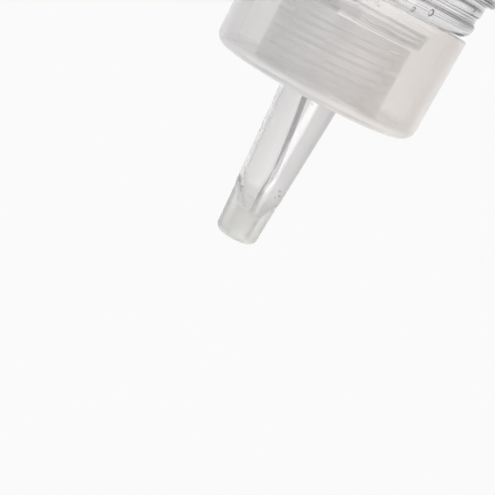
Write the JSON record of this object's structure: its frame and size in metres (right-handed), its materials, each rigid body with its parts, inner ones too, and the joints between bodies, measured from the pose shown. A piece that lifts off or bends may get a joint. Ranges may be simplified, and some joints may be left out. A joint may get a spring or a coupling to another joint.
{
  "type": "lubricant bottle",
  "caption": "Clear squeeze bottle of lubricating gel with a milky screw collar that clamps a long tapered nozzle.",
  "frame": {"origin": "centre of the base, on the surface that the bottle stands on", "axes": "+Z along the bottle's axis from the base to the nozzle's outlet; the air beside the gel in the neck and nozzle lies on the +X side"},
  "size_m": [0.0458, 0.0458, 0.1662],
  "materials": {
    "bottle_plastic": "clear blown plastic, smooth and glossy",
    "gel": "clear colourless gel with a few small bubbles",
    "nozzle_plastic": "almost clear soft moulded plastic, hazier at the tip",
    "collar_plastic": "natural milky moulded plastic, translucent, satin"
  },
  "bodies": {
    "bottle": {"bottle": "bottle_plastic", "gel_in_bottle": "gel"},
    "nozzle": {"nozzle": "nozzle_plastic", "gel_in_nozzle": "gel"},
    "collar": {"collar": "collar_plastic"}
  },
  "joints": [
    {"name": "nozzle_lift", "type": "slide", "parent": "bottle", "child": "nozzle", "axis": [0, 0, 1], "range_m": [0, 0.008]},
    {"name": "collar_turn", "type": "hinge", "parent": "nozzle", "child": "collar", "pos_m": [0, 0, 0.13], "axis": [0, 0, 1], "range_deg": [0, 900]}
  ],
  "couplings": [
    {"joint": "nozzle_lift", "follows": "collar_turn", "m_per_rad": 0.00050532}
  ]
}
